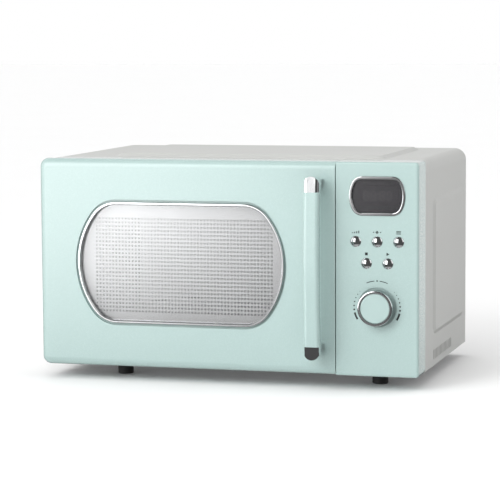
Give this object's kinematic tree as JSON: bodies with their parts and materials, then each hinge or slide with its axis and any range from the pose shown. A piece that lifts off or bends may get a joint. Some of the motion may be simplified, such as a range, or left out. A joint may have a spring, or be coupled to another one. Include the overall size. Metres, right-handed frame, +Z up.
{
  "type": "microwave oven",
  "caption": "Countertop microwave oven with a hinged windowed door, pull handle, turntable, control panel with knob and push buttons, and the parts inside.",
  "frame": {"origin": "on the worktop, under the middle of the whole object, handle included", "axes": "+X to the right seen from the front, +Y to the back, +Z up"},
  "size_m": [0.452, 0.341, 0.262],
  "materials": {
    "mint": "gloss mint moulding",
    "cabinet_paint": "light grey powder coat",
    "cavity_paint": "speckled grey oven enamel",
    "plate_paint": "grey satin paint",
    "zinc_steel": "zinc-plated sheet",
    "chrome": "polished chrome",
    "pane": "clear pane with a silver film",
    "tray_glass": "clear pressed glass",
    "screen_steel": "silver painted perforated sheet",
    "dark_lens": "smoked lens",
    "rubber": "black rubber",
    "grey_plastic": "grey moulding",
    "black_plastic": "black moulding",
    "white_plastic": "white moulding",
    "board": "green circuit board",
    "aluminium": "bare aluminium",
    "core_steel": "varnished laminations",
    "copper": "varnished winding wire",
    "mica": "mica sheet"
  },
  "bodies": {
    "cabinet": {"outer_cabinet": "cabinet_paint", "base_plate": "zinc_steel", "back_panel": "zinc_steel", "rubber_feet": "rubber", "oven_cavity": "cavity_paint", "front_plate": "plate_paint", "waveguide": "zinc_steel", "waveguide_cover": "mica", "magnetron": "aluminium", "transformer_core": "core_steel", "transformer_windings": "copper", "capacitor": "aluminium", "capacitor_clamp": "zinc_steel", "fan_motor": "core_steel", "fan_shroud": "black_plastic", "air_duct": "white_plastic", "oven_lamp": "white_plastic", "noise_filter_board": "board", "latch_board": "white_plastic", "interlock_switches": "black_plastic", "thermal_cutout": "zinc_steel", "turntable_motor": "zinc_steel", "door_hinges": "zinc_steel", "cabinet_screws": "zinc_steel", "cable_gland": "black_plastic", "control_panel": "mint", "display_trim": "chrome", "display_lens": "dark_lens", "display_module": "black_plastic", "control_board": "board", "rotary_encoder": "zinc_steel"},
    "door": {"door_frame": "mint", "window_trim": "chrome", "window_glass": "pane", "door_screen": "screen_steel", "choke_frame": "zinc_steel", "choke_cover": "grey_plastic", "inner_window": "pane", "handle_bar": "mint", "handle_caps": "chrome", "handle_screws": "zinc_steel", "latch_spring": "zinc_steel"},
    "latch": {"latch_hook": "black_plastic"},
    "upper_plunger": {"upper_plunger": "white_plastic"},
    "lower_plunger": {"lower_plunger": "white_plastic"},
    "fan": {"fan_blade": "black_plastic"},
    "coupler": {"turntable_coupler": "white_plastic"},
    "tray": {"glass_tray": "tray_glass"},
    "ring": {"roller_ring": "grey_plastic"},
    "wheel_a": {"roller_wheel_a": "white_plastic"},
    "wheel_b": {"roller_wheel_b": "white_plastic"},
    "wheel_c": {"roller_wheel_c": "white_plastic"},
    "knob": {"encoder_shaft": "zinc_steel", "knob": "mint", "knob_rim": "chrome"},
    "power_button": {"power_button": "chrome"},
    "defrost_button": {"defrost_button": "chrome"},
    "menu_button": {"menu_button": "chrome"},
    "stop_button": {"stop_button": "chrome"},
    "start_button": {"start_button": "chrome"}
  },
  "joints": [
    {"name": "door_hinge", "type": "hinge", "parent": "cabinet", "child": "door", "pos_m": [-0.217, -0.1155, 0.0165], "axis": [0, 0, -1], "range_deg": [0, 100]},
    {"name": "latch_slide", "type": "slide", "parent": "door", "child": "latch", "axis": [0, 0, 1], "range_m": [0, 0.004], "stiffness_N_per_m": 400, "springref_m": -0.001, "deforming": ["latch_spring"]},
    {"name": "upper_plunger_slide", "type": "slide", "parent": "cabinet", "child": "upper_plunger", "axis": [0, 1, 0], "range_m": [0, 0.0012], "stiffness_N_per_m": 300},
    {"name": "lower_plunger_slide", "type": "slide", "parent": "cabinet", "child": "lower_plunger", "axis": [0, 1, 0], "range_m": [0, 0.0012], "stiffness_N_per_m": 300},
    {"name": "turntable_spin", "type": "hinge", "parent": "cabinet", "child": "coupler", "pos_m": [-0.052, 0.0305, 0.0385], "axis": [0, 0, 1], "continuous": true},
    {"name": "tray_lift", "type": "slide", "parent": "coupler", "child": "tray", "axis": [0, 0, 1], "range_m": [0, 0.025]},
    {"name": "ring_spin", "type": "hinge", "parent": "cabinet", "child": "ring", "pos_m": [-0.052, 0.0305, 0.0385], "axis": [0, 0, 1], "continuous": true},
    {"name": "wheel_a_spin", "type": "hinge", "parent": "ring", "child": "wheel_a", "pos_m": [-0.052, 0.1145, 0.0468], "axis": [0, 1, 0], "continuous": true},
    {"name": "wheel_b_spin", "type": "hinge", "parent": "ring", "child": "wheel_b", "pos_m": [-0.12475, -0.0115, 0.0468], "axis": [-0.866, -0.5, 0], "continuous": true},
    {"name": "wheel_c_spin", "type": "hinge", "parent": "ring", "child": "wheel_c", "pos_m": [0.02075, -0.0115, 0.0468], "axis": [0.866, -0.5, 0], "continuous": true},
    {"name": "fan_spin", "type": "hinge", "parent": "cabinet", "child": "fan", "pos_m": [0.155, 0.1335, 0.1315], "axis": [0, 1, 0], "continuous": true},
    {"name": "knob_spin", "type": "hinge", "parent": "cabinet", "child": "knob", "pos_m": [0.1785, -0.1345, 0.0956], "axis": [0, 1, 0], "continuous": true},
    {"name": "power_button_press", "type": "slide", "parent": "cabinet", "child": "power_button", "axis": [0, 1, 0], "range_m": [0, 0.0012], "stiffness_N_per_m": 300},
    {"name": "defrost_button_press", "type": "slide", "parent": "cabinet", "child": "defrost_button", "axis": [0, 1, 0], "range_m": [0, 0.0012], "stiffness_N_per_m": 300},
    {"name": "menu_button_press", "type": "slide", "parent": "cabinet", "child": "menu_button", "axis": [0, 1, 0], "range_m": [0, 0.0012], "stiffness_N_per_m": 300},
    {"name": "stop_button_press", "type": "slide", "parent": "cabinet", "child": "stop_button", "axis": [0, 1, 0], "range_m": [0, 0.0012], "stiffness_N_per_m": 300},
    {"name": "start_button_press", "type": "slide", "parent": "cabinet", "child": "start_button", "axis": [0, 1, 0], "range_m": [0, 0.0012], "stiffness_N_per_m": 300}
  ],
  "couplings": [
    {"joint": "ring_spin", "follows": "turntable_spin", "ratio": 0.5},
    {"joint": "wheel_a_spin", "follows": "turntable_spin", "ratio": -5.25},
    {"joint": "wheel_b_spin", "follows": "turntable_spin", "ratio": -5.25},
    {"joint": "wheel_c_spin", "follows": "turntable_spin", "ratio": -5.25}
  ]
}
